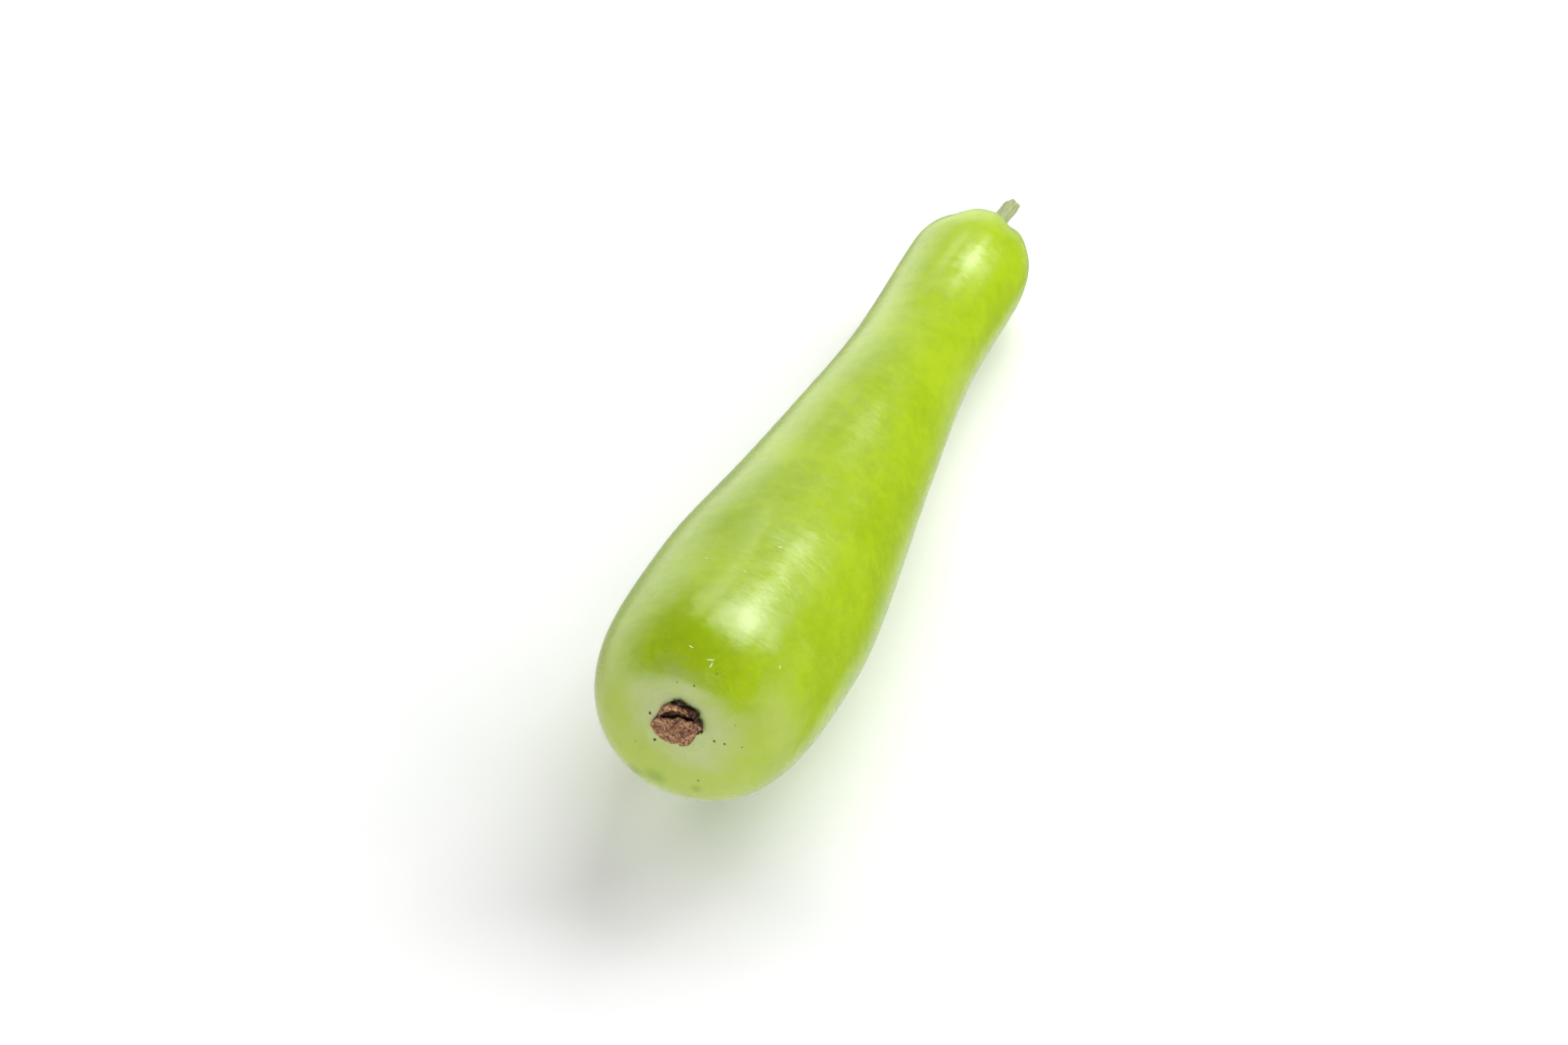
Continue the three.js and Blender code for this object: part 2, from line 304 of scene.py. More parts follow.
class Sheet:
    """The node tree of a material or a world, with short calls for its nodes."""

    def __init__(self, owner: Material | World, shader: str = "Principled BSDF") -> None:
        """Finds the tree and its shader.

        Args:
            owner: The material or the world.
            shader: The name of its shader node.
        """
        owner.use_nodes = True
        self.tree = owner.node_tree
        self.shader = self.tree.nodes[shader]

    def add(self, kind: str, **settings: object) -> Node:
        """Adds a node.

        Args:
            kind: The node's type in Blender.
            **settings: Its properties by name.

        Returns:
            The new node.
        """
        node = self.tree.nodes.new(kind)
        for key, value in settings.items():
            setattr(node, key, value)
        return node

    def feed(self, socket: NodeSocket, value: object) -> None:
        """Links a socket to another one, or sets it to a plain value.

        Args:
            socket: The input.
            value: An output, a number, a vector or a colour.
        """
        if isinstance(value, NodeSocket):
            self.tree.links.new(value, socket)
        elif socket.type == "RGBA":
            socket.default_value = (*value, 1.0)
        else:
            socket.default_value = value

    def set(self, **values: object) -> None:
        """Feeds inputs of the shader, named with underscores for spaces."""
        for name, value in values.items():
            self.feed(self.shader.inputs[name.replace("_", " ")], value)

    def place(self, kind: str = "Object") -> NodeSocket:
        """The coordinates of that kind, such as the place on the object in metres."""
        return self.add("ShaderNodeTexCoord").outputs[kind]

    def attribute(self, name: str) -> NodeSocket:
        """The mesh's own vector attribute of that name."""
        return self.add("ShaderNodeAttribute", attribute_name=name).outputs["Vector"]

    def parts(self, vector: NodeSocket) -> tuple[NodeSocket, NodeSocket, NodeSocket]:
        """The three numbers of a vector."""
        node = self.add("ShaderNodeSeparateXYZ")
        self.feed(node.inputs[0], vector)
        return node.outputs[0], node.outputs[1], node.outputs[2]

    def stretched(self, vector: NodeSocket, scale: Colour) -> NodeSocket:
        """Stretches a pattern's coordinates.

        Args:
            vector: The coordinates.
            scale: How many times finer the pattern is in each direction.

        Returns:
            The new coordinates.
        """
        node = self.add("ShaderNodeMapping")
        self.feed(node.inputs["Vector"], vector)
        node.inputs["Scale"].default_value = scale
        return node.outputs[0]

    def noise(self, vector: NodeSocket, scale: float, detail: float = 3.0,
              rough: float = 0.5, twist: float = 0.0) -> NodeSocket:
        """Cloudy noise from 0 to 1.

        Args:
            vector: The coordinates.
            scale: Clouds to a metre.
            detail: How many finer layers it has.
            rough: How strong the finer layers are.
            twist: How far the clouds are warped.

        Returns:
            The noise.
        """
        node = self.add("ShaderNodeTexNoise")
        self.feed(node.inputs["Vector"], vector)
        node.inputs["Scale"].default_value = scale
        node.inputs["Detail"].default_value = detail
        node.inputs["Roughness"].default_value = rough
        node.inputs["Distortion"].default_value = twist
        return node.outputs[0]

    def dots(self, vector: NodeSocket, scale: float) -> NodeSocket:
        """The distance to the nearest of many scattered points, in cells."""
        node = self.add("ShaderNodeTexVoronoi")
        self.feed(node.inputs["Vector"], vector)
        node.inputs["Scale"].default_value = scale
        return node.outputs["Distance"]

    def distance(self, vector: NodeSocket, point: Vector) -> NodeSocket:
        """The distance from a point, in the units of the vector."""
        node = self.add("ShaderNodeVectorMath", operation="DISTANCE")
        self.feed(node.inputs[0], vector)
        node.inputs[1].default_value = point
        return node.outputs["Value"]

    def ramp(self, value: NodeSocket, start: float, end: float,
             low: float = 0.0, high: float = 1.0) -> NodeSocket:
        """Maps a number softly from one range to another, and holds it there.

        Args:
            value: The number.
            start: What becomes low.
            end: What becomes high.
            low: The result at start.
            high: The result at end.

        Returns:
            The mapped number.
        """
        node = self.add("ShaderNodeMapRange", interpolation_type="SMOOTHSTEP")
        for socket, given in zip(node.inputs, (value, start, end, low, high)):
            self.feed(socket, given)
        return node.outputs[0]

    def math(self, operation: str, first: object, second: object) -> NodeSocket:
        """Works out a number from two others.

        Args:
            operation: The sum's name in Blender, such as MULTIPLY.
            first: A socket or a number.
            second: A socket or a number.

        Returns:
            The result.
        """
        node = self.add("ShaderNodeMath", operation=operation)
        self.feed(node.inputs[0], first)
        self.feed(node.inputs[1], second)
        return node.outputs[0]

    def off_middle(self, value: NodeSocket) -> NodeSocket:
        """How far a noise is from its middle, which it crosses in thin lines."""
        return self.math("ABSOLUTE", self.math("SUBTRACT", value, 0.5), 0.0)

    def moved(self, value: NodeSocket, by: NodeSocket, reach: float) -> NodeSocket:
        """Adds so much of one number to another."""
        return self.math("ADD", value, self.math("MULTIPLY", by, reach))

    def blend(self, first: NodeSocket, second: NodeSocket, share: float) -> NodeSocket:
        """Mixes two numbers, with so much of the second."""
        node = self.add("ShaderNodeMix", data_type="FLOAT")
        for way, given in ((0, share), (2, first), (3, second)):
            self.feed(node.inputs[way], given)
        return node.outputs[0]

    def layer(self, under: object, over: object, share: object) -> NodeSocket:
        """Lays one colour over another.

        Args:
            under: The colour below.
            over: The colour on top.
            share: How much of it shows.

        Returns:
            The mixed colour.
        """
        node = self.add("ShaderNodeMix", data_type="RGBA")
        self.feed(node.inputs[0], share)
        self.feed(node.inputs[6], under)
        self.feed(node.inputs[7], over)
        return node.outputs[2]

    def bump(self, height: NodeSocket, strength: float, depth: float,
             under: NodeSocket | None = None) -> NodeSocket:
        """Roughens the surface's normal.

        Args:
            height: The height from 0 to 1.
            strength: How much of the effect is used.
            depth: The real depth of the relief, in metres.
            under: The normal of a bump below this one.

        Returns:
            The new normal.
        """
        node = self.add("ShaderNodeBump")
        node.inputs["Strength"].default_value = strength
        node.inputs["Distance"].default_value = depth
        self.feed(node.inputs["Height"], height)
        if under is not None:
            self.feed(node.inputs["Normal"], under)
        return node.outputs[0]


@dataclass(frozen=True)
class SkinFinish:
    """The waxy yellow-green skin.

    It is faintly mottled and streaked along the fruit, greyish round the scar,
    and deeper green in the stem pit. The lower blossom end is paler, partly a
    natural bloom and partly a painted reflection of the pale floor.
    """

    deep: Colour = (0.235, 0.348, 0.0040)
    light: Colour = (0.305, 0.428, 0.0060)
    bloom: Colour = (0.360, 0.410, 0.175)
    # Partly natural bloom, partly a painted reflection of the pale floor on the lower cap.
    cap_bloom_and_reflection: Colour = (0.310, 0.385, 0.062)
    pit: Colour = (0.120, 0.190, 0.014)
    dust: Colour = (0.42, 0.50, 0.18)
    bloom_reach: Pair = (10 * MM, 26 * MM)
    pale_cap_reach: Pair = (34 * MM, 62 * MM)
    pale_cap_top: Pair = (66 * MM, 84 * MM)
    wrinkle_top: Pair = (55 * MM, 85 * MM)
    pit_reach: Pair = (8 * MM, 17 * MM)
    smudge: Colour = (0.150, 0.250, 0.010)
    smudges: tuple[tuple[float, float, float, float], ...] = (
        (-6.1, -192.6, 39.2, 7.0), (10.0, -192.3, 38.0, 4.0), (-14.0, -190.0, 37.0, 5.0),
    )
    scar_wander: float = 24 * MM
    top_wander: float = 34 * MM
    smudge_wander: float = 8 * MM
    waxiness: float = 0.05

    def colour(self, sheet: Sheet, place: NodeSocket) -> NodeSocket:
        """The colour of the skin at each place, with some painted reflection of the pale floor
        on the lower cap.

        Args:
            sheet: The material's nodes.
            place: The coordinates.

        Returns:
            The colour.
        """
        patches = sheet.noise(place, 26, 4, 0.55, 0.4)
        streaks = sheet.noise(sheet.stretched(place, (1.0, 0.25, 1.0)), 110, 3, 0.6)
        mottle = sheet.noise(place, 210, 5, 0.65, 0.5)
        tone = sheet.blend(sheet.blend(patches, streaks, 0.25), mottle, 0.38)
        skin = sheet.layer(self.deep, self.light, sheet.ramp(tone, 0.34, 0.64))
        cloud = sheet.ramp(sheet.blend(sheet.noise(place, 48, 4), mottle, 0.3), 0.3, 0.6, 0.4)
        _, _, height = sheet.parts(place)
        wander = sheet.math("SUBTRACT", sheet.noise(place, 34, 5, 0.6, 0.6), 0.5)
        near = sheet.distance(place, FLOWER_SEAT.centre)
        scar = sheet.moved(near, wander, self.scar_wander)
        height = sheet.moved(height, wander, self.top_wander)
        # Painted reflection of the pale floor, mixed with real bloom: the cap is paler near the
        # scar and below its height, and not higher up.
        cap_bloom_and_reflection = sheet.math("MULTIPLY", sheet.ramp(scar, *reversed(self.pale_cap_reach)),
                           sheet.ramp(height, *reversed(self.pale_cap_top)))
        skin = sheet.layer(skin, self.cap_bloom_and_reflection, sheet.math("MULTIPLY", cap_bloom_and_reflection, cloud))
        bloom = sheet.ramp(scar, *reversed(self.bloom_reach))
        skin = sheet.layer(skin, self.bloom, sheet.math("MULTIPLY", bloom, cloud))
        foot = sheet.distance(place, STALK_SEAT.centre)
        skin = sheet.layer(skin, self.pit, sheet.ramp(foot, *reversed(self.pit_reach)))
        for x, y, z, reach in self.smudges:
            spot = sheet.distance(place, Vector((x, y, z)) * MM)
            spot = sheet.moved(spot, wander, self.smudge_wander)
            share = sheet.ramp(spot, reach * MM, reach * 0.3 * MM, 0.0, 0.55)
            skin = sheet.layer(skin, self.smudge, share)
        return sheet.layer(skin, self.dust, self.pale_marks(sheet, place, height))

    def pale_marks(self, sheet: Sheet, place: NodeSocket, height: NodeSocket) -> NodeSocket:
        """How strongly the pale specks and hair-thin wrinkles show at each place.

        Args:
            sheet: The material's nodes.
            place: The coordinates.
            height: The height above the floor.

        Returns:
            A share from 0 to 1.
        """
        patch = sheet.ramp(sheet.noise(place, 75, 2), 0.46, 0.66)
        specks = sheet.ramp(sheet.dots(place, 520), 0.13, 0.06, 0.0, 0.5)
        specks = sheet.math("MULTIPLY", specks, patch)
        crossing = sheet.noise(sheet.stretched(place, (0.55, 2.0, 0.8)), 190, 4, 0.6, 0.8)
        lines = sheet.ramp(sheet.off_middle(crossing), 0.020, 0.004, 0.0, 0.3)
        lines = sheet.math("MULTIPLY", lines, patch)
        lines = sheet.math("MULTIPLY", lines, sheet.ramp(height, *self.wrinkle_top))
        return sheet.math("MAXIMUM", specks, lines)

    def material(self) -> Material:
        """Builds the material.

        Returns:
            The new material.
        """
        material = bpy.data.materials.new("waxy_skin")
        sheet = Sheet(material)
        place = sheet.place()
        sheet.set(
            Base_Color=self.colour(sheet, place),
            Roughness=sheet.ramp(sheet.noise(place, 70, 4), 0.3, 0.7, 0.18, 0.25),
            IOR=1.47,
            Coat_Weight=self.waxiness,
            Coat_Roughness=0.34,
            Coat_IOR=1.45,
            Subsurface_Weight=0.08,
            Subsurface_Radius=(0.8, 1.0, 0.15),
            Subsurface_Scale=3 * MM,
        )
        crossing = sheet.stretched(place, (0.5, 1.6, 0.5))
        dents = sheet.bump(sheet.noise(place, 130, 3, 0.5), 1.0, 0.22 * MM)
        wrinkles = sheet.bump(sheet.noise(crossing, 420, 4, 0.6), 1.0, 0.06 * MM, dents)
        pores = sheet.bump(sheet.noise(place, 1900, 2), 1.0, 0.012 * MM, wrinkles)
        sheet.set(Normal=pores, Coat_Normal=wrinkles)
        return material


@dataclass(frozen=True)
class StalkFinish:
    """The grey-green, fibrous stalk with its brown cut end.

    The mesh carries two attributes: the place round and along the stalk, and
    its height and distance from the middle, both as shares.
    """

    flesh: Colour = (0.31, 0.37, 0.12)
    shade: Colour = (0.14, 0.18, 0.055)
    rib: Colour = (0.42, 0.47, 0.22)
    foot: Colour = (0.30, 0.20, 0.10)
    cut: Colour = (0.30, 0.19, 0.13)
    pith: Colour = (0.07, 0.035, 0.03)

    def material(self) -> Material:
        """Builds the material.

        Returns:
            The new material.
        """
        material = bpy.data.materials.new("fibrous_stalk")
        sheet = Sheet(material)
        turn = sheet.attribute("turn")
        rib, height, radius = sheet.parts(sheet.attribute("stand"))
        fibres = sheet.noise(sheet.stretched(turn, (5.0, 5.0, 3.0)), 2.2, 5, 0.6)
        grain = sheet.noise(sheet.place(), 900, 3)
        colour = sheet.layer(self.shade, self.flesh, sheet.ramp(fibres, 0.3, 0.6))
        colour = sheet.layer(colour, self.rib, sheet.ramp(rib, 0.45, 1.0, 0.0, 0.65))
        colour = sheet.layer(colour, self.foot, sheet.ramp(height, 0.09, 0.0, 0.0, 0.85))
        end = sheet.ramp(height, 0.965, 0.99)
        cut = sheet.layer(self.pith, self.cut, sheet.ramp(radius, 0.3, 0.6))
        cut = sheet.layer(cut, self.flesh, sheet.ramp(grain, 0.5, 0.75, 0.0, 0.5))
        sheet.set(
            Base_Color=sheet.layer(colour, cut, end),
            Roughness=sheet.ramp(grain, 0.3, 0.7, 0.55, 0.75),
            Sheen_Weight=0.35,
            Sheen_Roughness=0.5,
            Subsurface_Weight=0.05,
            Subsurface_Radius=(0.6, 0.8, 0.2),
            Subsurface_Scale=1.5 * MM,
        )
        grooves = sheet.bump(fibres, 0.5, 0.15 * MM)
        sheet.set(Normal=sheet.bump(grain, 0.3, 0.06 * MM, grooves))
        return material


@dataclass(frozen=True)
class DryFinish:
    """Dried, papery plant matter, with painted shade in its creases and painted highlights on
    its crests.

    The mesh carries an attribute with three shares: how high each spot of the
    crumple is, how near it is to the rim, and how much paler it is, partly
    bleached and partly a painted highlight.

    Attributes:
        name: The name of the material.
        grain_and_crease_shade: Dark colour, painted shade in the low creases, and also thin fold
            lines, dark grain and a darker rim.
        body: Colour between.
        crest: Pale colour, painted highlight on the high crests and towards the rim, with some
            real bleaching there.
        tint: A second colour in patches.
    """

    name: str
    grain_and_crease_shade: Colour
    body: Colour
    crest: Colour
    tint: Colour

    def material(self) -> Material:
        """Builds the material.

        Returns:
            The new material.
        """
        material = bpy.data.materials.new(self.name)
        sheet = Sheet(material)
        place = sheet.place()
        crumple, rim, bleach_and_highlight = sheet.parts(sheet.attribute("crumple"))
        fibres = sheet.noise(sheet.stretched(place, (1.0, 1.0, 2.0)), 430, 5, 0.7, 0.9)
        clouds = sheet.noise(place, 240, 3)
        grain = sheet.noise(place, 2600, 3)
        height = sheet.blend(crumple, fibres, 0.45)
        colour = sheet.layer(self.body, self.tint, sheet.ramp(clouds, 0.44, 0.62, 0.0, 0.8))
        # Painted highlight: the high spots of the crumple, and the rim as it pales, take the
        # crest colour.
        pale = sheet.math("ADD", sheet.ramp(height, 0.57, 0.67, 0.0, 0.8), bleach_and_highlight)
        colour = sheet.layer(colour, self.crest, sheet.math("MINIMUM", pale, 0.9))
        fold = sheet.off_middle(fibres)
        colour = sheet.layer(colour, self.grain_and_crease_shade, sheet.ramp(fold, 0.042, 0.010, 0.0, 0.8))
        # Painted shade: the low spots of the crumple take the dark colour.
        colour = sheet.layer(colour, self.grain_and_crease_shade, sheet.ramp(height, 0.54, 0.44))
        colour = sheet.layer(colour, self.grain_and_crease_shade, sheet.ramp(grain, 0.58, 0.74, 0.0, 0.6))
        colour = sheet.layer(colour, self.grain_and_crease_shade, sheet.ramp(rim, 0.93, 1.0, 0.0, 0.5))
        sheet.set(
            Base_Color=colour,
            Roughness=sheet.ramp(fibres, 0.3, 0.7, 0.68, 0.9),
            Specular_IOR_Level=0.3,
        )
        folds = sheet.bump(fibres, 0.9, 0.30 * MM)
        sheet.set(Normal=sheet.bump(grain, 0.5, 0.07 * MM, folds))
        return material


@dataclass(frozen=True)
class HairFinish:
    """Pale, glassy plant hairs.

    Attributes:
        name: The name of the material.
        root: Colour where the noise is low.
        tip: Colour where the noise is high.
    """

    name: str
    root: Colour
    tip: Colour

    def material(self) -> Material:
        """Builds the material.

        Returns:
            The new material.
        """
        material = bpy.data.materials.new(self.name)
        sheet = Sheet(material)
        tone = sheet.ramp(sheet.noise(sheet.place(), 300, 2), 0.4, 0.6)
        sheet.set(
            Base_Color=sheet.layer(self.root, self.tip, tone),
            Roughness=sheet.ramp(tone, 0.0, 1.0, 0.3, 0.45),
            Sheen_Weight=0.3,
        )
        return material


@dataclass(frozen=True)
class SpeckFinish:
    """Small scabs on the skin.

    Attributes:
        name: The name of the material.
        low: Colour in the hollows.
        high: Colour on the high spots.
    """

    name: str
    low: Colour
    high: Colour

    def material(self) -> Material:
        """Builds the material.

        Returns:
            The new material.
        """
        material = bpy.data.materials.new(self.name)
        sheet = Sheet(material)
        grain = sheet.noise(sheet.place(), 2500, 3)
        sheet.set(
            Base_Color=sheet.layer(self.low, self.high, sheet.ramp(grain, 0.4, 0.6)),
            Roughness=sheet.ramp(grain, 0.3, 0.7, 0.5, 0.8),
            Normal=sheet.bump(grain, 0.5, 0.05 * MM),
        )
        return material


@dataclass(frozen=True)
class FloorFinish:
    """A matt white studio floor with the faintest clouding."""

    white: Colour = (0.86, 0.86, 0.86)
    cloud: Colour = (0.83, 0.84, 0.84)

    def material(self) -> Material:
        """Builds the material.

        Returns:
            The new material.
        """
        material = bpy.data.materials.new("white_floor")
        sheet = Sheet(material)
        clouds = sheet.ramp(sheet.noise(sheet.place(), 6, 2), 0.4, 0.6)
        sheet.set(
            Base_Color=sheet.layer(self.white, self.cloud, clouds),
            Roughness=0.7,
            Specular_IOR_Level=0.1,
        )
        return material


@dataclass
class GourdSkin:
    """The whole fruit as a fine, slightly uneven skin."""

    levels: int = 2
    swell_height: float = 0.30 * MM
    swell_pitch: float = 22.0
    ripple_height: float = 0.10 * MM
    ripple_pitch: float = 75.0
    stretch: float = 0.5
    floor_fade: float = 4 * MM
    seat_fade: Pair = (9 * MM, 18 * MM)
    brow: Vector = Vector((16.0, 130.0, 48.0)) * MM
    brow_reach: float = 28 * MM
    brow_height: float = 0.8 * MM
    scar_radius: float = 14 * MM
    scar_level: float = 0.95 * MM
    scar_dome: float = 0.35 * MM

    def unevenness(self, place: Vector) -> float:
        """How far the skin stands out at a place.

        Args:
            place: A point on the smooth skin.

        Returns:
            The height above the smooth skin, which may be below 0.
        """
        long_place = Vector((place.x, place.y * self.stretch, place.z))
        swell = noise.noise(long_place * self.swell_pitch) * self.swell_height
        ripple = noise.noise(long_place * self.ripple_pitch) * self.ripple_height
        off_floor = smooth_step(place.z, 0.0, self.floor_fade)
        off_scar = smooth_step((place - FLOWER_SEAT.centre).length, *self.seat_fade)
        off_pit = smooth_step((place - STALK_SEAT.centre).length, *self.seat_fade)
        brow = (place - self.brow).length / self.brow_reach
        bulge = self.brow_height * (1 - min(brow, 1.0) ** 2) ** 2
        return (swell + ripple) * off_floor * off_scar * off_pit + bulge

    def filled_scar(self, place: Vector) -> Vector:
        """Raises the skin below the dried flower, so that it meets it flush."""
        right, up, out = FLOWER_SEAT.local(place)
        share = math.hypot(right, up) / self.scar_radius
        if share >= 1 or abs(out) > self.scar_radius:
            return place
        level = self.scar_level + self.scar_dome * (1 - share ** 2)
        return FLOWER_SEAT.place(right, up, max(out, level))

    def shape(self) -> BMesh:
        """Builds the mesh.

        Returns:
            The skin's mesh. The caller frees it.
        """
        skin = subdivided(solid_copy(Solid.FRUIT), self.levels)
        for vert in skin.verts:
            vert.co = self.filled_scar(vert.co)
        skin.normal_update()
        moves = [vert.normal * self.unevenness(vert.co) for vert in skin.verts]
        for vert, move in zip(skin.verts, moves):
            vert.co += move
            vert.co.z = max(vert.co.z, 0.0)
        skin.normal_update()
        return skin

    def build(self, shape: BMesh) -> None:
        """Dresses the mesh and puts it in the place of the CAD fruit."""
        piece = finished_piece("gourd_skin", shape, SkinFinish().material(), Slot.SKIN)
        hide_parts(Solid.FRUIT.value)


@dataclass(frozen=True)
class HairCoat:
    """Fine hairs that stand on the faces of a surface.

    Attributes:
        name: The name of the piece.
        count: How many hairs grow.
        length: The length of a long hair.
        thickness: The width at its foot.
        lean: How far the tips lean, as a share of the length.
        sink: How deep the foot sits in the surface.
        seed: What the random draws start from.
        shortest: The length of a short hair, as a share of a long one's.
    """

    name: str
    count: int
    length: float
    thickness: float
    lean: float
    sink: float
    seed: int
    shortest: float = 0.45

    def shape(self, surface: BMesh, grows: Callable[[BMFace], bool]) -> BMesh:
        """Builds the hairs.

        Args:
            surface: The mesh that they stand on. It isn't changed.
            grows: Says whether a face of it may carry a hair.

        Returns:
            The hairs' mesh. The caller frees it.
        """
        draw = random.Random(self.seed)
        hairs = surface.copy()
        bmesh.ops.triangulate(hairs, faces=hairs.faces[:])
        fertile = [face for face in hairs.faces if grows(face)]
        chosen = set(draw.sample(fertile, min(self.count, len(fertile))))
        bare = [face for face in hairs.faces if face not in chosen]
        bmesh.ops.delete(hairs, geom=bare, context="FACES")
        bmesh.ops.split_edges(hairs, edges=hairs.edges[:])
        outward = hairs.verts.layers.float_vector.new("outward")
        hairs.normal_update()
        for face in hairs.faces:
            centre = face.calc_center_median()
            shrink = self.thickness / math.sqrt(max(face.calc_area(), 1e-12))
            for vert in face.verts:
                vert[outward] = face.normal
                vert.co = centre + (vert.co - centre) * shrink - face.normal * self.sink
        grown = bmesh.ops.poke(hairs, faces=hairs.faces[:])
        for tip in grown["verts"]:
            normal = Vector(tip.link_edges[0].other_vert(tip)[outward])
            side = Vector([draw.uniform(-1, 1) for _ in range(3)]) * self.lean
            height = self.length * draw.uniform(self.shortest, 1.0)
            tip.co += (normal + side).normalized() * height
        feet = [edge for edge in hairs.edges if edge.is_boundary]
        bmesh.ops.holes_fill(hairs, edges=feet, sides=3)
        bmesh.ops.recalc_face_normals(hairs, faces=hairs.faces[:])
        return hairs


@dataclass
class CutStalk:
    """The ribbed stalk, cut off square, standing in the pit of the stem end."""

    levels: int = 2
    length: float = 32.5 * MM
    ribs: int = 5
    twist: float = 0.35
    bend: float = 3 * MM
    counter_bend: float = 0.6
    width: float = 3.3 * MM
    strands: int = 23
    strand_depth: float = 0.07 * MM
    strand_wander: float = 2.0
    wander_pitch: float = 90.0
    wither: float = 0.12 * MM
    wither_pitch: float = 600.0
    wither_stretch: float = 0.3
    bare_end: float = 1 * MM
    hairs: HairCoat = HairCoat("stalk_hairs", 3600, length=0.95 * MM, thickness=0.055 * MM,
                               lean=0.45, sink=0.03 * MM, seed=11)

    def shape(self) -> BMesh:
        """Builds the stalk with fine strands between its ribs.

        Returns:
            The stalk's mesh with its attributes. The caller frees it.
        """
        stalk = subdivided(solid_copy(Solid.STALK), self.levels)
        stalk.normal_update()
        turn_layer = stalk.verts.layers.float_vector.new("turn")
        stand_layer = stalk.verts.layers.float_vector.new("stand")
        moves = []
        for vert in stalk.verts:
            right, up, out = STALK_SEAT.local(vert.co)
            height = out / self.length
            right -= self.bend * height * (height - self.counter_bend)
            turn = math.atan2(up, right) + self.twist * height
            radius = math.hypot(right, up) / self.width
            vert[turn_layer] = Vector((math.cos(turn), math.sin(turn), height))
            vert[stand_layer] = Vector((math.cos(self.ribs * turn), height, radius))
            wander = self.strand_wander * noise.noise(vert.co * self.wander_pitch)
            strand = math.sin(self.strands * turn + wander)
            spot = Vector((right, up, out * self.wither_stretch)) * self.wither_pitch
            wither = noise.noise(spot) * self.wither
            side = smooth_step(radius, 0.5, 0.8) * smooth_step(height, 0.02, 0.1)
            moves.append(vert.normal * (strand * self.strand_depth + wither) * side)
        for vert, move in zip(stalk.verts, moves):
            vert.co += move
        return stalk

    def carries_hair(self, face: BMFace) -> bool:
        """Whether hairs grow on a face, which is on the side of the stalk."""
        _, _, out = STALK_SEAT.local(face.calc_center_median())
        return self.bare_end < out < self.length - self.bare_end

    def build(self) -> None:
        """Builds and dresses the stalk and its hairs."""
        shape = self.shape()
        hairs = self.hairs.shape(shape, self.carries_hair)
        stalk = finished_piece("stalk", shape, StalkFinish().material(), Slot.STALK)
        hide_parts(Solid.STALK.value)
        finish = HairFinish("stalk_hair", (0.36, 0.39, 0.24), (0.56, 0.58, 0.42))
        finished_piece(self.hairs.name, hairs, finish.material(), Slot.STALK)


def flake(outline: Callable[[float], float], thickness: float, rings: int,
          sides: int, relief: Callable[[float, float], Pair],
          seat: Seat, centre: Pair = (0.0, 0.0),
          rim_bleach_and_highlight: float = 0.0) -> BMesh:
    """A thin, closed leaf of dried tissue.

    A ball is opened out into a disc with two faces, and its rim is drawn out
    to the outline.

    Args:
        outline: The distance from the centre to the rim at an angle.
        thickness: How thick the leaf is away from its rim.
        rings: How many rings of faces lie between the middle and the rim.
        sides: How many faces go round.
        relief: The height and the crumple, from 0 to 1, at a place on the seat.
        seat: Where it lies.
        centre: Where its middle lies on the seat.
        rim_bleach_and_highlight: How much paler it is towards its rim, partly bleached and
            partly a painted highlight.

    Returns:
        The leaf's mesh, with its crumple as an attribute. The caller frees it.
    """
    leaf = bmesh.new()
    bmesh.ops.create_uvsphere(leaf, u_segments=sides, v_segments=rings * 2, radius=1.0)
    crumple = leaf.verts.layers.float_vector.new("crumple")
    for vert in leaf.verts:
        angle = math.atan2(vert.co.y, vert.co.x)
        share = math.acos(min(abs(vert.co.z), 1.0)) / (math.pi / 2)
        side = math.copysign(math.sqrt(max(1 - share ** RIM_SHARPNESS, 0.0)), vert.co.z)
        reach = outline(angle) * share
        right = centre[0] + reach * math.cos(angle)
        up = centre[1] + reach * math.sin(angle)
        height, crest = relief(right, up)
        vert[crumple] = Vector((crest, share, rim_bleach_and_highlight * smooth_step(share, 0.35, 0.95)))
        vert.co = seat.place(right, up, height + side * thickness / 2)
    bmesh.ops.recalc_face_normals(leaf, faces=leaf.faces[:])
    return leaf


def through(points: tuple[Pair, ...], centre: Pair,
            ragged: float, pitch: float) -> Callable[[float], float]:
    """A rim that goes round through some points, with a ragged edge.

    Args:
        points: Places on the rim, in millimetres.
        centre: The place that the rim goes round, in millimetres.
        ragged: How far the edge wanders.
        pitch: How often it wanders.

    Returns:
        The distance to the rim for an angle.
    """
    arms = sorted(
        (math.atan2(up - centre[1], right - centre[0]),
         math.hypot(right - centre[0], up - centre[1]) * MM)
        for right, up in points
    )
    turn = 2 * math.pi
    arms = [(arms[-1][0] - turn, arms[-1][1]), *arms, (arms[0][0] + turn, arms[0][1])]

    def rim(angle: float) -> float:
        """The distance to the rim at an angle."""
        for (before, near), (after, far) in zip(arms, arms[1:]):
            if before <= angle <= after:
                share = smooth_step(angle, before, after)
                wander = noise.noise(Vector((math.cos(angle), math.sin(angle), 3.0)) * pitch)
                return near + (far - near) * share + wander * ragged
        return arms[0][1]

    return rim


